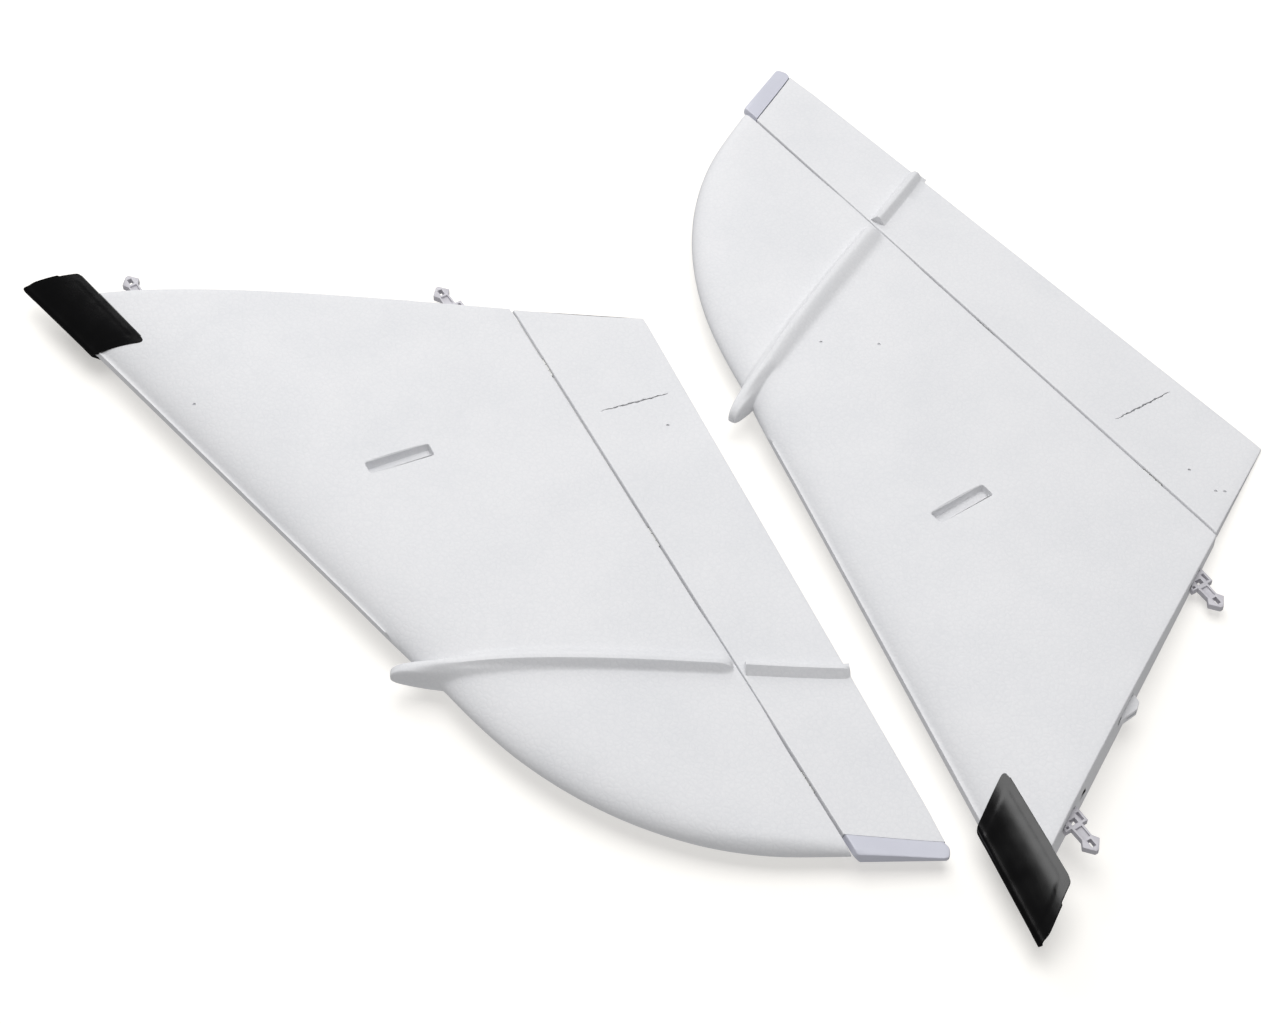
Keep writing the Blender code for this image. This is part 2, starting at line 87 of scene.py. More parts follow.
class WingPlan(PropertyGroup):
    """The outline of one panel seen from above."""

    root_chord: length("Root chord", "Length of the flat root face", 0.3)
    leading_sweep: ratio("Leading sweep", "Aft travel of the leading edge for each metre outboard", 0.857)
    trailing_sweep: ratio("Trailing sweep", "Aft travel of the trailing edge for each metre outboard", 0.393)
    hinge_root: length("Hinge root", "Where the hinge line meets the root, from the trailing corner", -0.067)
    hinge_sweep: ratio("Hinge sweep", "Aft travel of the hinge line for each metre outboard", 0.4615)
    curve_start: length("Curve start", "Span at which the leading edge starts to curve to the tip", 0.230)
    tip_x: length("Tip centre aft", "Centre of the tip's ellipse along the chord", 0.065)
    tip_y: length("Tip centre outboard", "Centre of the tip's ellipse along the span", 0.0275)
    tip_half_chord: length("Tip half chord", "Half of the tip ellipse along the chord", 0.223)
    tip_half_span: length("Tip half span", "Half of the tip ellipse along the span", 0.3)
    tip_end: length("Tip end", "Span at which the foam panel ends", 0.3273)
    tip_round: length("Tip rounding", "Span over which the tip closes to a round edge", 0.0074)


class WingSection(PropertyGroup):
    """The section that each panel is cut to."""

    dihedral: ratio("Dihedral", "Rise for each metre outboard", 0.024)
    nose_height: ratio("Nose height", "Height of the nose above the underside, as a share of the chord", 0.04)
    fullness: ratio("Fullness", "How full the upper surface is", 0.177)
    taper: ratio("Taper", "How fast the upper surface falls towards the trailing edge", 1.45)
    bottom_round: ratio("Bottom rounding", "Share of the chord over which the underside curves up", 0.25)
    edge: length("Trailing edge", "Thickness at the trailing edge", 0.0018)
    axis_height: length("Hinge height", "Height of the hinge axis at the root", 0.0069)
    axis_rise: ratio("Hinge rise", "Rise of the hinge axis for each metre outboard", 0.0131)
    groove: length("Hinge groove", "Half of the open groove above the hinge axis", 0.00075)
    shut: length("Shut line", "Half of the gap below the groove", 0.0002)
    rim: length("Moulded rim", "Radius that the mould leaves along the foam's edges", 0.0006)


class FenceSizes(PropertyGroup):
    """The raised fence that runs along the chord, and the skid below it."""

    height: length("Height", "Height above the upper surface", 0.0048)
    crest: length("Crest", "Half width of the level crest", 0.0007)
    outer: length("Outer run", "Run of the steep outboard side", 0.0034)
    inner: length("Inner run", "Run of the gentle inboard side", 0.0105)
    nose_half: length("Nose half width", "Half width of the blunt nose where it meets the wing", 0.005)
    tip: length("Nose tip", "Where the fence's blunt nose ends ahead of the leading edge", -0.1182)
    nose: length("Nose length", "Length of the blunt nose", 0.0212)
    nose_height: length("Nose middle", "Height of the middle of the nose", 0.0165)
    stop: length("Gap at hinge", "How far ahead of the hinge axis the fixed part ends", 0.002)
    elevon_start: length("Elevon start", "Where the elevon's part of the fence starts", 0.0423)
    skid: length("Skid half width", "Half width of the flat that the panel stands on", 0.0025)


class FittingSizes(PropertyGroup):
    """The slots in the foam and the plastic fittings."""

    slot_length: length("Servo slot length", "Length of the servo arm slot", 0.0326)
    slot_width: length("Servo slot width", "Width of the servo arm slot", 0.0074)
    slot_depth: length("Servo slot depth", "Depth of the servo arm slot", 0.0055)
    slit_length: length("Horn slit length", "Length of the slit for the control horn", 0.038)
    slit_width: length("Horn slit width", "Width of the slit for the control horn", 0.0009)
    cap_wall: length("Nose cap wall", "Wall of the black nose cap", 0.00145)
    cap_rim: length("Nose cap rim", "Width of the rim round the nose cap's sunk middle", 0.0036)
    cap_sink: length("Nose cap sink", "How far the nose cap's middle is sunk", 0.00012)
    tip_skin: length("Tip cap skin", "How far the tip cap stands proud of the foam", 0.0004)
    bead: length("Bead", "Size of the foam's beads", 0.0028)
    dimple: length("Pin mark", "Radius of the marks left by the mould's pins", 0.0008)


class WingColours(PropertyGroup):
    """The finishes' colours."""

    foam: colour("Foam", "White bead foam", "DCDCDE")
    foam_shade: colour("Foam shade", "Bead borders and denser patches in the foam", "D2D3D6")
    tip_cap: colour("Tip cap", "Lavender grey satin plastic", "C9CAD5")
    nose_cap: colour("Nose cap", "Gloss black plastic", "070708")
    clip: colour("Clip", "Light grey satin plastic", "C4C2C8")
    nylon: colour("Hinge", "Natural white nylon", "DEDEDC")
    carbon: colour("Spar", "Carbon tube", "161618")
    steel: colour("Pin", "Drawn steel wire", "C4C4C6")
    floor: colour("Floor", "Pale studio floor", "D4D2CE")


class StageSizes(PropertyGroup):
    """The camera and lights."""

    lens: FloatProperty(name="Lens", description="Focal length", default=74.09, subtype="DISTANCE_CAMERA")
    distance: length("Distance", "How far the camera is from what it looks at", 1.2683)
    elevation: FloatProperty(
        name="Elevation",
        description="Camera's angle above the floor",
        default=math.radians(51.07),
        subtype="ANGLE",
    )
    floor: length("Floor", "Side of the floor", 12.0)
    segments: IntProperty(name="Bevel segments", description="Segments of each small edge", default=2)


def plan():
    return bpy.context.scene.wing_plan


def section():
    return bpy.context.scene.wing_section


def fence():
    return bpy.context.scene.wing_fence


def fittings():
    return bpy.context.scene.wing_fittings


def colours():
    return bpy.context.scene.wing_colours


# Shape of a panel, as arrays in metres in the panel's frame --------------------


def smooth_max(a, b, width):
    """The larger of two values, rounded where they cross."""
    near = np.maximum(width - np.abs(a - b), 0) / width
    return np.maximum(a, b) + near * near * width / 4


def smooth_min(a, b, width):
    return -smooth_max(-a, -b, width)


def ease(value):
    """0 to 1 with level ends."""
    share = np.clip(value, 0, 1)
    return share * share * (3 - 2 * share)


def mix(a, b, share):
    return a + (b - a) * share


def leading_x(y):
    p = plan()
    reach = np.clip((y - p.tip_y) / p.tip_half_span, 0, 1)
    curved = p.tip_x - p.tip_half_chord * np.sqrt(1 - reach**2)
    straight = p.leading_sweep * y - p.root_chord
    return mix(straight, curved, ease((y - p.curve_start + 0.004) / 0.008))


def hinge_x(y):
    return plan().hinge_root + plan().hinge_sweep * y


def trailing_x(y):
    return plan().trailing_sweep * y


def axis_z(y):
    return section().axis_height + section().axis_rise * y


def across_hinge():
    """Length along X for each metre square to the hinge line."""
    return math.hypot(1, plan().hinge_sweep)


def lift(y):
    return section().dihedral * y


def top_z(x, y, nose=None):
    s = section()
    nose = leading_x(y) if nose is None else nose
    chord = trailing_x(y) - nose
    share = np.clip((x - nose) / chord, 0, 1)
    rest = 1 - share
    camber = s.nose_height * rest + s.fullness * np.sqrt(share) * rest**s.taper
    return lift(y) + chord * camber + s.edge * share


def bottom_z(x, y, nose=None):
    s = section()
    nose = leading_x(y) if nose is None else nose
    chord = trailing_x(y) - nose
    share = np.clip((x - nose) / chord, 0, 1)
    curl = np.clip(1 - np.sqrt(share / s.bottom_round), 0, 1)
    return lift(y) + s.nose_height * chord * curl * curl


def fence_y(x):
    """The fence's middle, which runs very nearly along the chord."""
    return 0.228 + 0.0225 * (0.084 - x)


def fence_crest(x, stop=None):
    """The ridge's height. It rounds down to the surface at its stop, ahead of the hinge."""
    f = fence()
    height = f.height - 0.008 * np.maximum(x, 0)
    if stop is not None:
        round_over = 0.007
        height = height * np.sqrt(1 - np.clip((x - stop + round_over) / round_over, 0, 1) ** 2)
    return top_z(x, fence_y(x)) + height


NOSE_EXPONENT = 6
NOSE_HALF = 0.004


def nose_reach(off):
    """How far the fence's nose reaches ahead of its root, at a distance from the fence's middle."""
    return fence().nose / (1 + (np.abs(off) / NOSE_HALF) ** NOSE_EXPONENT)


def nose_x(y):
    """The front of the panel at each station, with the fence's nose on it."""
    f = fence()
    plain = leading_x(y)
    root = f.tip + f.nose
    ahead = plain - np.maximum(plain, root) + nose_reach(y - fence_y(root))
    return plain - smooth_max(ahead, 0 * ahead, 0.004)


def fence_share(x, off):
    """0 on the fence's middle to 1 at its side, whose width follows the blunt nose."""
    f = fence()
    ahead = np.clip(f.tip + f.nose - x, 1e-6, f.nose * 0.9999)
    nose_half = NOSE_HALF * (f.nose / ahead - 1) ** (1 / NOSE_EXPONENT)
    return np.abs(off) / np.maximum(np.minimum(nose_half, f.nose_half), 1e-5)


def fence_drop(off):
    """How far the fence has fallen from its crest: steep and flat outboard, a gentle curve inboard."""
    f = fence()
    outboard = f.height / f.outer * np.maximum(off - f.crest, 0)
    inboard = np.maximum(-off - f.crest, 0)
    gentle = 1.3 * f.height * ease(inboard / f.inner) + np.maximum(inboard - f.inner, 0)
    return np.where(off > 0, outboard, gentle)


def panel_surfaces(x, y, nose):
    """Upper and lower heights of the fixed panel, with the fence, its nose and the skid blended in."""
    f = fence()
    off = y - fence_y(x)
    at_nose = nose_reach(y - fence_y(f.tip + f.nose)) / f.nose
    raised = (f.nose_height - 0.0133) * at_nose * np.exp(-(((x - nose) / 0.012) ** 2))
    top = top_z(x, y, nose) + raised
    bottom = bottom_z(x, y, nose) + raised
    run = np.clip((x - f.tip) / f.nose, 0, None)
    nose_top = f.nose_height + 0.0088 * run**0.45
    nose_low = f.nose_height - 0.0075 * run**0.35
    onto = ease((x - f.tip - f.nose) / 0.017)
    stop = hinge_x(fence_y(0.034)) - f.stop * across_hinge()
    crest = mix(nose_top, fence_crest(x, stop), onto)
    share = fence_share(x, off)
    inside = np.clip(share, 0, 1)
    upper = -0.2 + 1.2 * (1 - inside**2.6) ** 1.11 - 3 * np.maximum(share - 1, 0)
    fence_top = crest - mix((nose_top - nose_low) / 2 * (1 - upper), fence_drop(off), onto)
    beyond = np.where(x > stop, 0.02, 0)
    top = smooth_max(top, fence_top - beyond, 0.0012)
    lower = np.sqrt(1 - inside**3)
    keel_rise = (f.nose_height - nose_low) * 0.9
    keel = nose_low + keel_rise * (1 - lower) + 0.004 * np.maximum(share - 1, 0)
    under = mix(keel, bottom, ease((x - f.tip - f.nose + 0.004) / 0.010))
    bottom = np.where(share < 1.6, smooth_min(bottom, under, 0.0016), bottom)
    return top, skid_blend(x, off, bottom)


def skid_blend(x, off, bottom):
    """The fence's lower edge, with ramps at its two ends, flat where the panel stands on it."""
    front = 0.0065 * np.clip((-0.064 - x) / 0.016, 0, 4)
    rear = 0.0057 * np.clip((x - 0.014) / 0.012, 0, 4)
    side = 5.5 * np.maximum(np.abs(off) - fence().skid, 0)
    foot = smooth_max(front + rear, 0 * x, 0.001) - 0.00025
    return np.maximum(smooth_min(bottom, foot + side, 0.0014), 0)


def spread(count):
    """Shares from 0 to 1, close together at both ends."""
    return (1 - np.cos(np.pi * np.arange(count) / (count - 1))) / 2


def corner(before, at, after, radius, count=4):
    """Points that round a corner between two neighbours, for all stations at once."""
    def towards(other):
        way = other - at
        far = np.linalg.norm(way, axis=-1, keepdims=True)
        return at + way / far * np.minimum(radius, far * 0.45)

    start, end = towards(before), towards(after)
    return [
        start * (1 - t) ** 2 + at * 2 * t * (1 - t) + end * t * t for t in np.linspace(0, 1, count)
    ]


def stack(columns):
    return np.stack(columns, axis=1)


def flat_points(x, y, z):
    return np.stack(np.broadcast_arrays(x, y, z), axis=-1)


def panel_rows():
    """Rows of points round the fixed panel's section, from the root to the tip."""
    s, p = section(), plan()
    fence_at = fence_y(-0.04)
    inner = np.linspace(0, fence_at - 0.016, 56)
    ridge = np.concatenate([np.linspace(-0.016, -0.006, 12)[1:-1], np.linspace(-0.006, 0.008, 52)]) + fence_at
    angle_from = math.asin((fence_at + 0.0085 - p.tip_y) / p.tip_half_span)
    angle_to = math.asin((p.tip_end - p.tip_y) / p.tip_half_span)
    outer = p.tip_y + p.tip_half_span * np.sin(np.linspace(angle_from, angle_to, 46))
    stations = np.concatenate([inner, ridge, outer])[:, None]
    follow = 1 - ease((np.abs(stations - fence_at) - 0.016) / 0.03)

    def aligned(x):
        """Rows near the fence run along it."""
        return stations + follow * (fence_y(x) - fence_at)

    nose = nose_x(aligned(-0.103))
    groove = hinge_x(stations) - s.groove * across_hinge()
    shut = hinge_x(stations) - s.shut * across_hinge()
    closing = np.clip((stations - p.tip_end + p.tip_round) / (p.tip_round + 0.0001), 0, 1)
    thin = (1 - closing**2) ** 0.4
    middle = lift(stations) + s.nose_height * (trailing_x(stations) - nose)

    def surface(share, aft, lower):
        x = nose + (aft - nose) * share
        y = aligned(x)
        z = panel_surfaces(x, y, nose)[1 if lower else 0]
        return flat_points(x, y, middle + (z - middle) * thin)

    top = surface(spread(84)[None, ::-1], groove, False)
    bottom = surface(spread(60)[None, 1:], shut, True)
    step = flat_points(shut, aligned(shut), middle + (axis_z(stations) + 0.0006 - middle) * thin)[:, 0]
    upper = corner(step, top[:, 0], top[:, 3], s.rim)
    lower = corner(bottom[:, -4], bottom[:, -1], step, s.rim / 2)
    wall = [mix(step, upper[0], share) for share in (0, 0.33, 0.66)]
    return np.concatenate(
        [stack(upper), top[:, 4:], bottom[:, :-4], stack(lower), stack(wall)], axis=1
    )


def edge_rounded(row, radius, inward, count=4):
    """Rows that round an end's rim: the end row drawn in along its outline and moved out to the end face."""
    run = np.roll(row, -1, axis=0) - np.roll(row, 1, axis=0)
    out = np.stack([run[:, 2], 0 * run[:, 0], -run[:, 0]], axis=-1)
    out /= np.maximum(np.linalg.norm(out, axis=1, keepdims=True), 1e-9)
    middle = row.mean(axis=0)
    sign = np.sign(np.sum((row - middle) * out))
    rows = []
    for angle in np.linspace(0, math.pi / 2, count)[:-1]:
        drawn = row - out * sign * radius * (1 - math.sin(angle))
        drawn[:, 1] += inward * radius * (1 - math.cos(angle)) - inward * 0
        rows.append(drawn)
    rows.append(row + np.array([0, inward * radius, 0]))
    return rows


def elevon_rows(stations, grow=0.0, tail=None, skew=None):
    """Rows of points round the elevon's section.

    For the tip cap, grow thickens it and clears the groove, and tail moves its end aft.
    """
    s = section()
    y0 = stations[:, None]
    wide = across_hinge()
    start = hinge_x(y0) + (s.groove + 1.5 * grow) * wide
    rear = trailing_x(y0) if tail is None else tail[:, None]
    lean = np.zeros_like(y0) if skew is None else skew[:, None]

    def placed(x, z):
        shape = np.broadcast(x, z, y0).shape
        y = y0 + lean * (x - hinge_x(y0))
        return flat_points(np.broadcast_to(x, shape), np.broadcast_to(y, shape), np.broadcast_to(z, shape))

    share = spread(44)[None, :]
    x = start + (rear - start) * share
    top = placed(x, top_z(np.minimum(x, trailing_x(y0)), y0) + grow)
    low = lift(y0) + 0.0003 - grow
    drop = axis_z(y0) - lift(y0)
    bevel = hinge_x(y0) + (s.shut + drop * math.tan(math.radians(32))) * wide
    bottom = placed(rear + (bevel - rear) * share, low)
    step = placed(hinge_x(y0) + s.shut * wide, axis_z(y0) + 0.0006)[:, 0]
    front = corner(step, top[:, 0], top[:, 4], s.rim)
    tail_top = corner(top[:, -6], top[:, -1], bottom[:, 0], s.rim + grow)
    tail_low = corner(top[:, -1], bottom[:, 0], bottom[:, 5], s.rim + grow)
    heel = corner(bottom[:, -4], bottom[:, -1], step, s.rim)
    face = [mix(heel[-1], step, share) for share in (0.33, 0.66, 1.0)]
    face += [mix(step, front[0], share) for share in (0.33, 0.66)]
    return np.concatenate(
        [
            stack(front),
            top[:, 5:-6],
            stack(tail_top),
            stack(tail_low),
            bottom[:, 6:-4],
            stack(heel),
            stack(face),
        ],
        axis=1,
    )


# Modelling --------------------


def only(piece):
    """Selects one object and makes it the active one."""
    bpy.ops.object.select_all(action="DESELECT")
    piece.select_set(True)
    bpy.context.view_layer.objects.active = piece
    return piece


def skin(name, rows, capped=True):
    """A closed body: a grid laid over the rows of points, joined along its seam and closed at both ends."""
    rows = np.asarray(rows)
    closed = np.concatenate([rows, rows[:, :1]], axis=1)
    count, around = closed.shape[:2]
    bpy.ops.object.select_all(action="DESELECT")
    bpy.ops.mesh.primitive_grid_add(x_subdivisions=around - 1, y_subdivisions=count - 1, size=1)
    piece = bpy.context.object
    piece.name = name
    piece.data.vertices.foreach_set("co", closed.reshape(-1).astype(np.float32))
    bpy.ops.object.mode_set(mode="EDIT")
    bpy.ops.mesh.select_all(action="SELECT")
    bpy.ops.mesh.remove_doubles(threshold=1e-6)
    if capped:
        bpy.ops.mesh.fill_holes(sides=0)
    bpy.ops.mesh.select_all(action="SELECT")
    bpy.ops.mesh.normals_make_consistent(inside=False)
    bpy.ops.object.mode_set(mode="OBJECT")
    return piece


def box(name, size, place):
    """A helper block of the given size, standing in the given frame."""
    bpy.ops.object.select_all(action="DESELECT")
    bpy.ops.mesh.primitive_cube_add(size=1, scale=size)
    return settled(name, place)


def rod(name, radius, depth, place, sides=32):
    """A helper rod along the frame's Z."""
    bpy.ops.object.select_all(action="DESELECT")
    bpy.ops.mesh.primitive_cylinder_add(vertices=sides, radius=radius, depth=depth)
    return settled(name, place)


def settled(name, place):
    """Moves a new primitive's place into its mesh."""
    piece = bpy.context.object
    piece.name = name
    bpy.ops.object.transform_apply(location=True, rotation=True, scale=True)
    piece.data.transform(place)
    return piece


def apply_modifier(piece, kind, **settings):
    only(piece)
    step = piece.modifiers.new(kind.title(), kind)
    for key, value in settings.items():
        setattr(step, key, value)
    bpy.ops.object.modifier_apply(modifier=step.name)
    return piece


def carve(piece, helper, operation="DIFFERENCE"):
    """Cuts a helper out of the piece, or joins it on, and removes the helper."""
    apply_modifier(piece, "BOOLEAN", object=helper, operation=operation, solver="MANIFOLD")
    bpy.data.objects.remove(helper)
    return piece


def shade(piece, degrees=35.0):
    only(piece)
    bpy.ops.object.shade_smooth_by_angle(angle=math.radians(degrees))
    return piece


def panel_frame(side):
    """One panel's frame: its root face's normal gives its turn, and its hinge's origin its place."""
    mounts = frame["record"]["mounts"]
    normal = Vector(next(m["axis"] for m in mounts if m["name"] == side + "_root_face"))
    anchor = Vector(next(j["pos_m"] for j in frame["joints"] if j["name"] == side + "_elevon_hinge"))
    aft = Vector((normal.y, -normal.x, 0)) * -SIDES[side]
    turn = Matrix((aft, -normal, (0, 0, 1))).transposed().to_4x4()
    outboard = (anchor.z - section().axis_height) / section().axis_rise
    start = anchor - aft * hinge_x(outboard) + normal * outboard
    return Matrix.Translation((start.x, start.y, 0)) @ turn


def copy_to(master, side, name):
    """A copy of a master piece, with its own mesh, in one panel's place. The left panel is mirrored."""
    place = panel_frame(side)
    mesh = master.data.copy()
    mesh.transform(place)
    if place.determinant() < 0:
        mesh.flip_normals()
    made = bpy.data.objects.new(name, mesh)
    bpy.context.collection.objects.link(made)
    return made


def finish(piece, body, node, slot, material):
    """The last step of a piece: its finish, the body that it rides on, and hiding the node that it stands for."""
    piece.data.materials.clear()
    piece.data.materials.append(material)
    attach(piece, body)
    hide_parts(node)
    return piece


def hinge_frame(y):
    """A frame on the hinge axis, with Y along the axis and X square to it, level and aft."""
    def point(at):
        return Vector((hinge_x(at), at, axis_z(at)))

    along = (point(1) - point(0)).normalized()
    aft = along.cross(Vector((0, 0, 1))).normalized()
    turn = Matrix((aft, along, aft.cross(along))).transposed().to_4x4()
    return Matrix.Translation(point(y)) @ turn


HINGE_PLACES = (0.040, 0.150, 0.290)


def cut_hinges(piece, direction):
    """Room in the foam for each hinge's knuckles and for one of its leaves."""
    lie = Matrix.Rotation(math.radians(90), 4, "X")
    for y in HINGE_PLACES:
        spot = hinge_frame(y)
        carve(piece, rod("knuckle_room", 0.00175, 0.013, spot @ lie, 24))
        shift = Matrix.Translation((direction * 0.005, 0, 0))
        carve(piece, box("leaf_room", (0.010, 0.0128, 0.0014), spot @ shift))


def oblong(centre, size, grow=0.0, round_to=0.001, count=6):
    """A round-cornered oblong square to the hinge line, as x and y arrays."""
    wide = across_hinge()
    along = np.array([1 / wide, -plan().hinge_sweep / wide])
    side = np.array([-along[1], along[0]])
    points = []
    for a, b, turn in ((1, 1, 0), (-1, 1, 90), (-1, -1, 180), (1, -1, 270)):
        for angle in np.radians(np.linspace(turn, turn + 90, count)):
            reach_a = a * (size[0] / 2 - round_to) + (round_to + grow) * math.cos(angle)
            reach_b = b * (size[1] / 2 - round_to) + (round_to + grow) * math.sin(angle)
            points.append(np.array(centre) + along * reach_a + side * reach_b)
    points = np.array(points)
    return points[:, 0], points[:, 1]


def slot_cutter(centre, size, depth, lip):
    """A cutter with a lip rounded along the upper surface, drafted walls and a floor that falls aft."""
    surface = float(top_z(np.array(centre[0]), np.array(centre[1])))
    rows = []
    for grow, above in ((-0.0007, 0.0), (-0.0003, 0.0006)):
        x, y = oblong(centre, size, grow)
        ramp = 0.0016 * (centre[0] - x) / size[0]
        rows.append(flat_points(x, y, surface - depth + above + 0.0008 + ramp))
    x, y = oblong(centre, size)
    rows.append(flat_points(x, y, surface - 2 * lip))
    for angle in np.radians((20, 40, 60, 75, 90)):
        x, y = oblong(centre, size, lip * (1 - math.cos(angle)))
        rows.append(flat_points(x, y, top_z(x, y) - lip * (1 - math.sin(angle))))
    x, y = oblong(centre, size, lip * 1.6)
    rows.append(flat_points(x, y, top_z(x, y) + 0.002))
    return skin("slot_room", rows)


NOSE_CAP_Y = (-0.0143, 0.0336)
NOSE_CAP_PROFILE = (
    (0.0260, 0.0249), (0.0180, 0.0235), (0.0110, 0.0215), (0.0050, 0.0192),
    (0.0, 0.0170), (-0.0030, 0.0159), (-0.0041, 0.0143), (-0.0035, 0.0120),
    (-0.0012, 0.0094), (0.0030, 0.0067), (0.0090, 0.0044), (0.0150, 0.0030),
)


def nose_cap_path(count):
    """The cap's outer profile as evenly spaced points on a smooth curve, and their distances along it."""
    keys = np.array(NOSE_CAP_PROFILE)
    ends = np.concatenate([[2 * keys[0] - keys[1]], keys, [2 * keys[-1] - keys[-2]]])
    fine = []
    for a, b, c, d in zip(ends, ends[1:], ends[2:], ends[3:]):
        for t in np.linspace(0, 1, 12, endpoint=False):
            bend = (2 * a - 5 * b + 4 * c - d) * t**2 + (3 * b - a - 3 * c + d) * t**3
            fine.append(0.5 * (2 * b + (c - a) * t + bend))
    fine = np.array(fine + [keys[-1]])
    far = np.concatenate([[0], np.cumsum(np.linalg.norm(np.diff(fine, axis=0), axis=1))])
    at = np.linspace(0, far[-1], count)
    return np.stack([np.interp(at, far, fine[:, k]) for k in (0, 1)], axis=-1), at


def nose_cap_point(path, y, offset):
    """Places the profile at each station, scaled with the chord there, and offset outwards."""
    run = np.gradient(path, axis=0)
    out = np.stack([run[:, 1], -run[:, 0]], axis=-1)
    out /= np.linalg.norm(out, axis=1, keepdims=True)
    nose = plan().leading_sweep * y - plan().root_chord
    size = (trailing_x(y) - nose) / plan().root_chord
    x = nose + path[:, None, 0] * size + out[:, None, 0] * offset
    z = lift(y) + path[:, None, 1] * size + out[:, None, 1] * offset
    return x, z


def cut_back(far, reach, depth):
    """How far one end of the nose cap is drawn in by its round corners, at distances along its profile."""
    from_edge = np.minimum(far, far[-1] - far)[:, None]
    return depth * (1 - np.sqrt(np.clip(from_edge / reach, 0, 1))) ** 2


def nose_cap_end(far):
    """Where the nose cap's outboard end lies, with its round corners and its shorter underside."""
    shorter = 0.0035 * ease((far[:, None] - 0.029) / 0.012)
    return NOSE_CAP_Y[1] - cut_back(far, 0.0050, 0.0045) - shorter


def nose_cap_recess():
    """Room in the foam for the nose cap and for the gap round it."""
    path, far = nose_cap_path(48)
    path = path.copy()
    path[0, 0] += 0.0003
    path[-1, 0] += 0.0003
    start, end = -0.001, nose_cap_end(far) + 0.0003
    rows = []
    for share in np.linspace(0, 1, 6):
        station = start + (end - start) * share
        rings = []
        for offset in (0.004, -fittings().cap_wall - 0.0003):
            x, z = nose_cap_point(path, station, offset)
            rings.append(flat_points(x, station, z)[:, 0])
        rows.append(np.concatenate([rings[0], rings[1][::-1]]))
    return skin("cap_room", rows)


# Materials --------------------


def add(tree, kind, links=None, **settings):
    """Adds a node, gives it its settings, and sets or links its inputs."""
    made = tree.nodes.new("ShaderNode" + kind)
    for key, value in settings.items():
        setattr(made, key, value)
    for key, value in (links or {}).items():
        if isinstance(value, bpy.types.NodeSocket):
            tree.links.new(value, made.inputs[key])
        else:
            made.inputs[key].default_value = value
    return made


def new_material(name, **surface):
    """A material with constants on its surface shader, and its tree, shader and object coordinates."""
    made = bpy.data.materials.new(name)
    made.use_nodes = True
    tree = made.node_tree
    shader = tree.nodes["Principled BSDF"]
    for key, value in surface.items():
        shader.inputs[key.replace("_", " ")].default_value = value
    place = add(tree, "TexCoord").outputs["Object"]
    return made, tree, shader, place


def shown(colour_value):
    return (*colour_value, 1.0)


def blend_colours(tree, factor, first, second):
    """The colour between two, by a factor."""
    mixed = add(tree, "Mix", {"Factor": factor}, data_type="RGBA")
    mixed.inputs[6].default_value = shown(first)
    mixed.inputs[7].default_value = shown(second)
    return mixed.outputs[2]


def per_metre(size):
    """A texture's scale for features of a real size in metres."""
    return 1 / size


def bead_foam():
    """Moulded bead foam. The steam-fused beads show as faint cells in a matt, slightly uneven skin."""
    made, tree, shader, place = new_material("moulded_bead_foam", IOR=1.49, Roughness=0.62)
    c = colours()
    bead = fittings().bead
    wander = add(tree, "TexNoise", {"Vector": place, "Scale": per_metre(0.006), "Detail": 2.0})
    pushed = add(tree, "VectorMath", {0: wander.outputs["Color"], 1: (bead * 0.5,) * 3}, operation="MULTIPLY")
    moved = add(tree, "VectorMath", {0: place, 1: pushed.outputs[0]}, operation="ADD")
    cells = add(
        tree, "TexVoronoi", {"Vector": moved.outputs[0], "Scale": per_metre(bead)}, feature="DISTANCE_TO_EDGE"
    )
    border = add(tree, "MapRange", {"Value": cells.outputs["Distance"], 1: 0.0, 2: 0.16, 3: 1.0, 4: 0.0})
    # Density drifts over some centimetres, and the skin is pitted at about half a millimetre.
    drift_noise = {"Vector": place, "Scale": per_metre(0.045), "Detail": 3.0, "Roughness": 0.55}
    drift = add(tree, "TexNoise", drift_noise)
    patch = add(tree, "MapRange", {"Value": drift.outputs[0], 1: 0.38, 2: 0.72, 3: 0.0, 4: 1.0})
    pit_noise = {"Vector": place, "Scale": per_metre(0.0016), "Detail": 3.0, "Roughness": 0.6}
    pits = add(tree, "TexNoise", pit_noise)
    pitted = add(tree, "MapRange", {"Value": pits.outputs[0], 1: 0.35, 2: 0.7, 3: 0.0, 4: 1.0})
    shares = add(tree, "Math", {0: border.outputs[0], 1: 0.3}, operation="MULTIPLY")
    patch_share = {0: patch.outputs[0], 1: 0.45, 2: shares.outputs[0]}
    with_patch = add(tree, "Math", patch_share, operation="MULTIPLY_ADD")
    pit_share = {0: pitted.outputs[0], 1: 0.25, 2: with_patch.outputs[0]}
    with_pits = add(tree, "Math", pit_share, operation="MULTIPLY_ADD")
    tint = blend_colours(tree, with_pits.outputs[0], c.foam, c.foam_shade)
    tree.links.new(tint, shader.inputs["Base Color"])
    rough = add(tree, "MapRange", {"Value": pits.outputs[0], 1: 0.3, 2: 0.7, 3: 0.55, 4: 0.75})
    tree.links.new(rough.outputs[0], shader.inputs["Roughness"])
    dome = add(tree, "MapRange", {"Value": cells.outputs["Distance"], 1: 0.0, 2: 0.3, 3: 0.0, 4: 1.0})
    pit_depth = {0: pits.outputs[0], 1: 0.6, 2: dome.outputs[0]}
    skin_height = add(tree, "Math", pit_depth, operation="MULTIPLY_ADD")
    bump = add(tree, "Bump", {"Height": skin_height.outputs[0], "Strength": 0.22, "Distance": 0.0002})
    tree.links.new(bump.outputs[0], shader.inputs["Normal"])
    return made


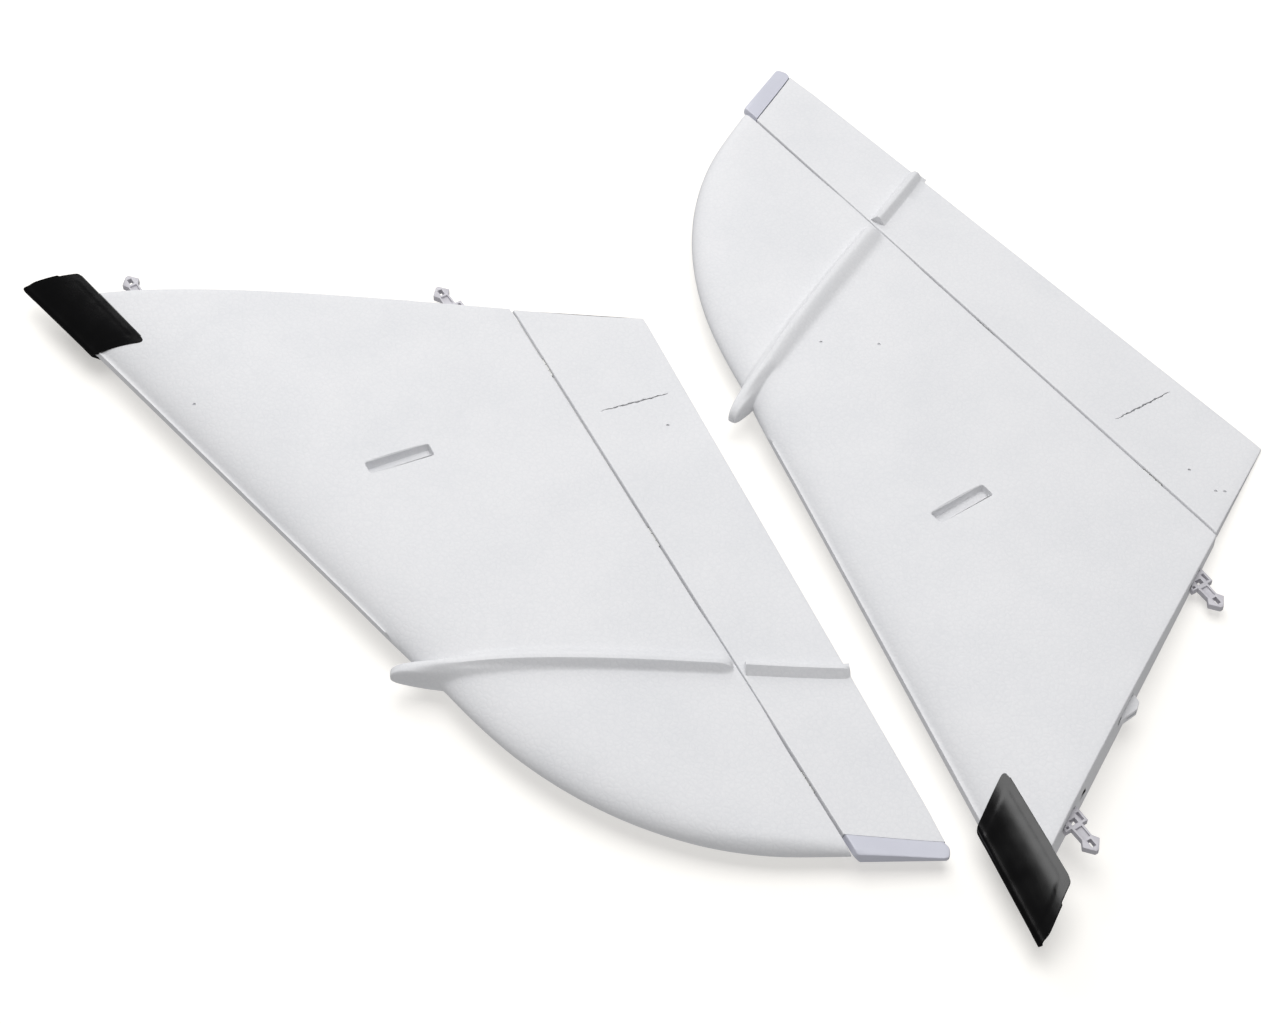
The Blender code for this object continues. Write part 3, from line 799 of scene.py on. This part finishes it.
def moulded(name, tint, rough, grain, depth, **surface):
    """An injection-moulded plastic: an even tint, a fine mould grain and slow changes of gloss."""
    made, tree, shader, place = new_material(name, **surface)
    slow = add(tree, "TexNoise", {"Vector": place, "Scale": per_metre(0.012), "Detail": 2.0})
    fine = add(tree, "TexNoise", {"Vector": place, "Scale": per_metre(grain), "Detail": 2.0})
    darker = [value * 0.9 for value in tint]
    tree.links.new(blend_colours(tree, slow.outputs[0], tint, darker), shader.inputs["Base Color"])
    gloss = add(tree, "MapRange", {"Value": slow.outputs[0], 1: 0.3, 2: 0.7, 3: rough[0], 4: rough[1]})
    tree.links.new(gloss.outputs[0], shader.inputs["Roughness"])
    bump = add(tree, "Bump", {"Height": fine.outputs[0], "Strength": 0.3, "Distance": depth})
    tree.links.new(bump.outputs[0], shader.inputs["Normal"])
    return made


def drawn(name, tint, rough, metallic, streak, lengthwise):
    """A drawn or pultruded rod: fine streaks along its length break up its shine."""
    made, tree, shader, place = new_material(name, Metallic=metallic)
    turned = add(tree, "Mapping", {"Vector": place, "Rotation": lengthwise, "Scale": (1.0, 1.0, 0.04)})
    lines = add(tree, "TexNoise", {"Vector": turned.outputs[0], "Scale": per_metre(streak), "Detail": 3.0})
    lighter = [min(1.0, value * 1.5) for value in tint]
    tree.links.new(blend_colours(tree, lines.outputs[0], tint, lighter), shader.inputs["Base Color"])
    shine = add(tree, "MapRange", {"Value": lines.outputs[0], 1: 0.3, 2: 0.7, 3: rough[0], 4: rough[1]})
    tree.links.new(shine.outputs[0], shader.inputs["Roughness"])
    return made


def finish_material(slot):
    """Each slot's material, made the first time that it is asked for."""
    name = "finish_" + slot
    if name in bpy.data.materials:
        return bpy.data.materials[name]
    c = colours()
    made = {
        "foam": bead_foam,
        # Satin acrylonitrile plastic with a faint spark-eroded grain.
        "tip_cap": lambda: moulded("satin_abs", c.tip_cap, (0.36, 0.46), 0.0005, 0.00002, IOR=1.53),
        # The same plastic from a polished mould, so that it mirrors the lights softly.
        "black_cap": lambda: moulded("gloss_abs", c.nose_cap, (0.2, 0.28), 0.0012, 0.00001, IOR=1.53),
        # Acetal, whose slightly waxy gloss shows the clips' edges.
        "clip": lambda: moulded("moulded_acetal", c.clip, (0.32, 0.45), 0.0006, 0.00002, IOR=1.48),
        # Milky nylon leaves, a shade warmer than the foam round them.
        "hinge": lambda: moulded("moulded_nylon", c.nylon, (0.4, 0.5), 0.0006, 0.00002, IOR=1.53),
        # Resin-bound carbon fibres, all lengthwise, which glint as fine streaks in the bore.
        "carbon": lambda: drawn("pultruded_carbon", c.carbon, (0.25, 0.4), 0.0, 0.0004, (0, 1.2, 0)),
        # Bright drawn wire, whose die lines stretch its shine along the pin.
        "steel": lambda: drawn("drawn_steel_wire", c.steel, (0.22, 0.36), 1.0, 0.0002, (1.57, 0, 0)),
    }[slot]()
    made.name = name
    return made


# Operators --------------------


PIN_MARKS = {
    "left_wing_panel": ((-0.2197, 0.0737),),
    "right_wing_panel": ((-0.0563, 0.2143), (-0.0420, 0.1891)),
    "left_elevon": ((0.0109, 0.0761),),
    "right_elevon": ((-0.0400, 0.0103), (-0.0377, 0.0064), (-0.0339, 0.0262)),
}


def cut_pin_marks(piece, side, node):
    """The small round marks that the mould's pins leave in the upper surface."""
    radius = fittings().dimple
    for x, y in PIN_MARKS[node]:
        height = float(top_z(np.array(x), np.array(y)))
        spot = panel_frame(side) @ Matrix.Translation((x, y, height))
        carve(piece, rod("pin_mark", radius, 0.0018, Matrix.Translation(spot.translation), 16))


class WING_OT_foam_panels(Operator):
    """Models the two fixed foam panels with their fences, slots and sockets"""

    bl_idname = "wing.foam_panels"
    bl_label = "Foam Panels"

    def execute(self, context):
        rows = panel_rows()
        rows = np.concatenate([edge_rounded(rows[0], section().rim, 1), rows[1:]])
        master = skin("panel_master", rows)
        f = fittings()
        carve(master, slot_cutter((-0.1183, 0.1106), (f.slot_length, f.slot_width), f.slot_depth, 0.0006))
        carve(master, nose_cap_recess())
        cut_root_sockets(master)
        cut_hinges(master, -1)
        for side in SIDES:
            panel = copy_to(master, side, side + "_foam_panel")
            cut_pin_marks(panel, side, side + "_wing_panel")
            shade(panel)
            finish(panel, FIXED_BODY, side + "_wing_panel", "foam", finish_material("foam"))
        bpy.data.objects.remove(master)
        return {"FINISHED"}


def cut_root_sockets(piece):
    """Sockets in the root face for the two clips, the hooked tab and the spar."""
    for x, z in ((-0.2525, 0.0154), (-0.0954, 0.0046)):
        lean = Matrix.Rotation(math.radians(-120), 4, "Z")
        inward = Matrix.Translation((-0.004, 0, 0))
        place = Matrix.Translation((x, 0, z + 0.00165)) @ lean @ inward
        carve(piece, box("clip_room", (0.0166, 0.0086, 0.0039), place))
    carve(piece, box("tab_room", (0.0136, 0.0146, 0.0056), Matrix.Translation((-0.1855, 0, 0.0145))))
    start, end = Vector((-0.235, 0.001, 0.013)), Vector((-0.098, 0.202, 0.014))
    along = (end - start).normalized()
    place = Matrix.Translation(start) @ along.to_track_quat("Z", "Y").to_matrix().to_4x4()
    carve(piece, rod("spar_room", 0.0028, 0.03, place))


class WING_OT_elevons(Operator):
    """Models the two foam elevons, each with its part of the fence and its horn slit"""

    bl_idname = "wing.elevons"
    bl_label = "Elevons"

    def execute(self, context):
        end = 0.3186 - 0.00015
        root = 0.0006
        stations = np.concatenate([np.linspace(root, 0.30, 60), np.linspace(0.303, end, 6)])
        skew = 0.035 * ease((stations - 0.30) / (end - 0.30))
        rows = elevon_rows(stations, skew=skew)
        rows = np.concatenate([edge_rounded(rows[0], section().rim, 1), rows[1:]])
        master = skin("elevon_master", rows)
        carve(master, elevon_fence(), "UNION")
        carve(master, horn_slit())
        cut_hinges(master, 1)
        for side in SIDES:
            elevon = copy_to(master, side, side + "_foam_elevon")
            cut_pin_marks(elevon, side, side + "_elevon")
            shade(elevon)
            finish(elevon, side + "_elevon_body", side + "_elevon", "foam", finish_material("foam"))
        bpy.data.objects.remove(master)
        return {"FINISHED"}


def elevon_fence():
    """The rear part of the fence, blunt in front, rounded behind, with a foot spread onto the surface."""
    f = fence()
    end = float(trailing_x(fence_y(0.084)))
    front, back = f.elevon_start, end + 0.0007
    runs = [(front, 0.93), (front + 0.0003, 1.0)]
    runs += [(x, 1.0) for x in np.linspace(front + 0.003, back - 0.0035, 16)]
    for a in np.radians((25, 50, 70, 85)):
        runs.append((back - 0.0035 * (1 - math.sin(a)), 0.15 + 0.85 * math.cos(a)))
    inboard = [(-f.crest - 0.4 * f.inner * t, 1 - 1.02 * float(ease(t))) for t in np.linspace(1, 0, 12)]
    outboard = [(f.crest + f.outer * t, 1 - t) for t in (0.0, 0.5, 1.0)]
    outboard.append((f.crest + f.outer + 0.0004, -0.03))
    rows = []
    for x, size in runs:
        height = (f.height - 0.008 * x) * size
        at = min(x, end)
        points = []
        for off, up in inboard + outboard:
            y = fence_y(x) + off * (0.4 + 0.6 * size)
            points.append((x, y, float(top_z(np.array(at), np.array(y))) + height * up - 0.0001))
        low = points[0][2] - 0.0012
        points += [(x, fence_y(x) + off, low) for off in (0.002, -0.006)]
        rows.append(points)
    return skin("elevon_fence", np.array(rows))


def horn_slit():
    """The slit for the control horn, cut with a blade, so that its two edges wander a little."""
    f = fittings()
    centre = np.array((-0.005, 0.0615))
    wide = across_hinge()
    along = np.array([1 / wide, -plan().hinge_sweep / wide])
    side = np.array([-along[1], along[0]])
    shares = np.linspace(-1, 1, 49)
    width = f.slit_width / 2 * np.sqrt(np.maximum(1 - shares**2, 0.01)) * (1 + 0.3 * np.sin(shares * 31))
    drift = 0.00018 * np.sin(shares * 17) + 0.0001 * np.sin(shares * 43)
    edges = [
        centre
        + np.outer(shares[::way], along) * f.slit_length / 2
        + np.outer((drift + way * width)[::way], side)
        for way in (1, -1)
    ]
    outline = np.concatenate(edges)
    x, y = outline[:, 0], outline[:, 1]
    return skin("slit_room", [flat_points(x, y, top_z(x, y) + rise) for rise in (-0.0022, 0.001)])


class WING_OT_tip_caps(Operator):
    """Models the pale plastic caps on the elevons' tips"""

    bl_idname = "wing.tip_caps"
    bl_label = "Elevon Tip Caps"

    def execute(self, context):
        inner, outer = 0.3189, 0.3289
        stations = np.concatenate([[inner, inner + 0.0002], np.linspace(inner + 0.0012, outer - 0.001, 10)])
        round_outer = [outer - 0.001 + 0.001 * math.sin(a) for a in np.radians((30, 60, 90))]
        stations = np.concatenate([stations, round_outer])
        share = (stations - inner) / (outer - inner)
        tail = 0.1246 + 0.0022 * np.sqrt(np.clip(1 - (2 * (share - 0.56)) ** 2, 0, 1))
        skew = 0.035 * (1 - ease(share * 1.4))
        grow = fittings().tip_skin
        rows = elevon_rows(stations, grow=grow, tail=tail, skew=skew)
        rows[-3:] = tip_rounded(rows[-4], rows[-3:], 0.001)
        master = skin("tip_cap_master", rows)
        for side in SIDES:
            cap = copy_to(master, side, side + "_tip_cap")
            shade(cap)
            body = side + "_elevon_body"
            finish(cap, body, side + "_elevon_tip_cap", "tip_cap", finish_material("tip_cap"))
        bpy.data.objects.remove(master)
        return {"FINISHED"}


def tip_rounded(full, rows, radius):
    """Draws the last rows in towards their middle line, so that the cap's outer face has rounded edges."""
    made = []
    for row, angle in zip(rows, np.radians((30, 60, 90))):
        middle = row.mean(axis=0)
        half = np.ptp(row[:, 2]) / 2
        drawn_in = radius * (1 - math.cos(angle))
        shrunk = row.copy()
        shrunk[:, 2] = middle[2] + (row[:, 2] - middle[2]) * (1 - drawn_in / half * 0.6)
        shrunk[:, 0] = middle[0] + (row[:, 0] - middle[0]) * (1 - drawn_in / 0.02)
        made.append(shrunk)
    return made


class WING_OT_nose_caps(Operator):
    """Models the gloss black caps that wrap the root end of each leading edge"""

    bl_idname = "wing.nose_caps"
    bl_label = "Nose Caps"

    def execute(self, context):
        master = nose_cap_master()
        for side in SIDES:
            cap = copy_to(master, side, side + "_black_cap")
            shade(cap, 40)
            finish(cap, FIXED_BODY, side + "_nose_cap", "black_cap", finish_material("black_cap"))
        bpy.data.objects.remove(master)
        return {"FINISHED"}


def nose_cap_master():
    """A shell bent round the nose, with round corners, a flat rim and a slightly sunk middle."""
    f = fittings()
    path, far = nose_cap_path(76)
    count = 64
    from_edge = np.minimum(far, far[-1] - far)[:, None]
    notch = 0.0007 * (1 - ease((far[:, None] - 0.0105) / 0.0006))
    turned = 0.0012 * ease((far[:, None] - 0.023) / 0.008)
    tucked = 0.013 * ease((far[:, None] - 0.031) / 0.02)
    low = NOSE_CAP_Y[0] + cut_back(far, 0.0022, 0.0022) + notch + turned + tucked
    high = nose_cap_end(far)
    y = low + (high - low) * spread(count)[None, :]
    from_end = np.minimum(y - low, high - y)
    inset = smooth_min(from_edge + 0 * y, from_end, 0.002)
    sunk = -f.cap_sink * ease((inset - f.cap_rim) / 0.0022)
    x, z = nose_cap_point(path, y, sunk)
    points = flat_points(x, y, z)
    bpy.ops.object.select_all(action="DESELECT")
    bpy.ops.mesh.primitive_grid_add(x_subdivisions=count - 1, y_subdivisions=len(path) - 1, size=1)
    cap = bpy.context.object
    cap.name = "nose_cap_master"
    cap.data.vertices.foreach_set("co", points.reshape(-1).astype(np.float32))
    cap.data.update()
    middle = cap.data.polygons[len(cap.data.polygons) // 4]
    if middle.normal.z < 0:
        cap.data.flip_normals()
    apply_modifier(cap, "SOLIDIFY", thickness=f.cap_wall, offset=-1, use_even_offset=True)
    apply_modifier(
        cap, "BEVEL", width=0.00035, segments=2, limit_method="ANGLE", angle_limit=math.radians(55),
        use_clamp_overlap=True,
    )
    return cap


class WING_OT_root_fittings(Operator):
    """Refines the snap clips and hooked tabs on the root faces"""

    bl_idname = "wing.root_fittings"
    bl_label = "Root Fittings"

    def execute(self, context):
        for side in SIDES:
            for node, slot, width in (
                ("front_clip", "clip", 0.00022), ("aft_clip", "clip", 0.00022), ("root_tab", "foam", 0.0003),
            ):
                piece = softened(side + "_" + node, side + "_" + node + "_moulding", width)
                finish(piece, FIXED_BODY, side + "_" + node, slot, finish_material(slot))
        return {"FINISHED"}


def softened(node, name, width):
    """A copy of a plain node with the small round edges that its mould gives it."""
    made = bpy.data.objects.new(name, frame["nodes"][node].data.copy())
    bpy.context.collection.objects.link(made)
    only(made)
    bpy.ops.object.mode_set(mode="EDIT")
    bpy.ops.mesh.select_all(action="SELECT")
    bpy.ops.mesh.remove_doubles(threshold=1e-6)
    bpy.ops.mesh.dissolve_limited(angle_limit=math.radians(1))
    bpy.ops.object.mode_set(mode="OBJECT")
    apply_modifier(
        made, "BEVEL", width=width, segments=bpy.context.scene.wing_stage.segments, limit_method="ANGLE",
        angle_limit=math.radians(25), use_clamp_overlap=True,
    )
    return shade(made)


class WING_OT_hidden_fittings(Operator):
    """Gives the spar tubes, hinge leaves and hinge pins their finishes"""

    bl_idname = "wing.hidden_fittings"
    bl_label = "Spars and Hinges"

    def execute(self, context):
        for name, node in frame["nodes"].items():
            for ending, slot in (("_leaf", "hinge"), ("_pin", "steel"), ("_spar_tube", "carbon")):
                if name.endswith(ending):
                    node.data.materials.clear()
                    node.data.materials.append(finish_material(slot))
        return {"FINISHED"}


class WING_OT_stage(Operator):
    """Sets up the pale floor, the soft lights and the camera"""

    bl_idname = "wing.stage"
    bl_label = "Stage"

    def execute(self, context):
        make_floor()
        make_world()
        make_lights()
        make_camera()
        context.scene.view_settings.view_transform = "Standard"
        return {"FINISHED"}


def make_floor():
    bpy.ops.object.select_all(action="DESELECT")
    bpy.ops.mesh.primitive_plane_add(size=bpy.context.scene.wing_stage.floor)
    floor = bpy.context.object
    floor.name = "floor"
    glow = {"Emission_Color": (1.0, 0.985, 0.96, 1.0), "Emission_Strength": 0.42}
    made, tree, shader, place = new_material("matt_floor", Roughness=0.9, **glow)
    grain = add(tree, "TexNoise", {"Vector": place, "Scale": per_metre(0.004), "Detail": 2.0})
    tint = colours().floor
    paler = [value * 0.985 for value in tint]
    tree.links.new(blend_colours(tree, grain.outputs[0], tint, paler), shader.inputs["Base Color"])
    floor.data.materials.append(made)
    # The world's lower half stands in for the light that the floor throws back, weaker than a white floor's.
    floor.visible_diffuse = False
    floor.visible_glossy = False


def make_world():
    """Even light from all round. Shiny surfaces see a dark studio, and the camera a white one."""
    world = bpy.data.worlds.new("studio")
    bpy.context.scene.world = world
    world.use_nodes = True
    tree = world.node_tree
    tree.nodes.clear()
    path = add(tree, "LightPath")
    ray = add(tree, "SeparateXYZ", {0: add(tree, "TexCoord").outputs["Generated"]})
    level = add(tree, "MapRange", {"Value": ray.outputs["Z"], 1: -0.1, 2: 0.1, 3: 0.8, 4: 0.4})
    even = add(tree, "Background", {"Color": (1, 1, 1, 1), "Strength": level.outputs[0]})
    dark = add(tree, "Background", {"Color": (1, 1, 1, 1), "Strength": 0.05})
    white = add(tree, "Background", {"Color": (1, 1, 1, 1), "Strength": 1.0})
    shiny = add(tree, "MixShader", {0: path.outputs["Is Glossy Ray"], 1: even.outputs[0], 2: dark.outputs[0]})
    camera_ray = path.outputs["Is Camera Ray"]
    seen = add(tree, "MixShader", {0: camera_ray, 1: shiny.outputs[0], 2: white.outputs[0]})
    add(tree, "OutputWorld", {"Surface": seen.outputs[0]})


def make_lights():
    """A broad overhead softbox, mirrored in the black caps, and a weaker one behind, shading near edges."""
    for name, place, size, power in (
        ("overhead_softbox", (0.05, 0.35, 1.9), 1.6, 28.0),
        ("back_softbox", (-0.7, 1.7, 1.1), 1.2, 13.0),
    ):
        bpy.ops.object.light_add(type="AREA", location=place)
        light = bpy.context.object
        light.name = name
        light.data.shape = "SQUARE"
        light.data.size = size
        light.data.energy = power
        light.rotation_euler = (Vector((0, 0, 0)) - Vector(place)).to_track_quat("-Z", "Y").to_euler()


def make_camera():
    stage = bpy.context.scene.wing_stage
    target = Vector((0.0052, -0.0290, 0.0))
    back = Vector((0, -math.cos(stage.elevation), math.sin(stage.elevation)))
    bpy.ops.object.camera_add(location=target + back * stage.distance)
    camera = bpy.context.object
    camera.name = "camera"
    camera.rotation_euler = (-back).to_track_quat("-Z", "Y").to_euler()
    camera.data.lens = stage.lens
    camera.data.sensor_width = 36.0
    camera.data.sensor_fit = "HORIZONTAL"
    bpy.context.scene.camera = camera


class WING_PT_panel(Panel):
    """Lists the steps in the order that they are run"""

    bl_idname = "WING_PT_panel"
    bl_label = "Foam Wing"
    bl_space_type = "VIEW_3D"
    bl_region_type = "UI"
    bl_category = "Foam Wing"

    def draw(self, context):
        for step in STEPS:
            self.layout.operator(step.bl_idname)


STEPS = (
    WING_OT_foam_panels,
    WING_OT_elevons,
    WING_OT_tip_caps,
    WING_OT_nose_caps,
    WING_OT_root_fittings,
    WING_OT_hidden_fittings,
    WING_OT_stage,
)
GROUPS = {
    "wing_plan": WingPlan,
    "wing_section": WingSection,
    "wing_fence": FenceSizes,
    "wing_fittings": FittingSizes,
    "wing_colours": WingColours,
    "wing_stage": StageSizes,
}


def register():
    for group in GROUPS.values():
        bpy.utils.register_class(group)
    for name, group in GROUPS.items():
        setattr(bpy.types.Scene, name, PointerProperty(type=group))
    for step in STEPS + (WING_PT_panel,):
        bpy.utils.register_class(step)


def unregister():
    for step in reversed(STEPS + (WING_PT_panel,)):
        bpy.utils.unregister_class(step)
    for name, group in GROUPS.items():
        delattr(bpy.types.Scene, name)
        bpy.utils.unregister_class(group)


def main():
    register()
    bpy.ops.wing.foam_panels()
    bpy.ops.wing.elevons()
    bpy.ops.wing.tip_caps()
    bpy.ops.wing.nose_caps()
    bpy.ops.wing.root_fittings()
    bpy.ops.wing.hidden_fittings()
    bpy.ops.wing.stage()


if __name__ == "__main__":
    main()
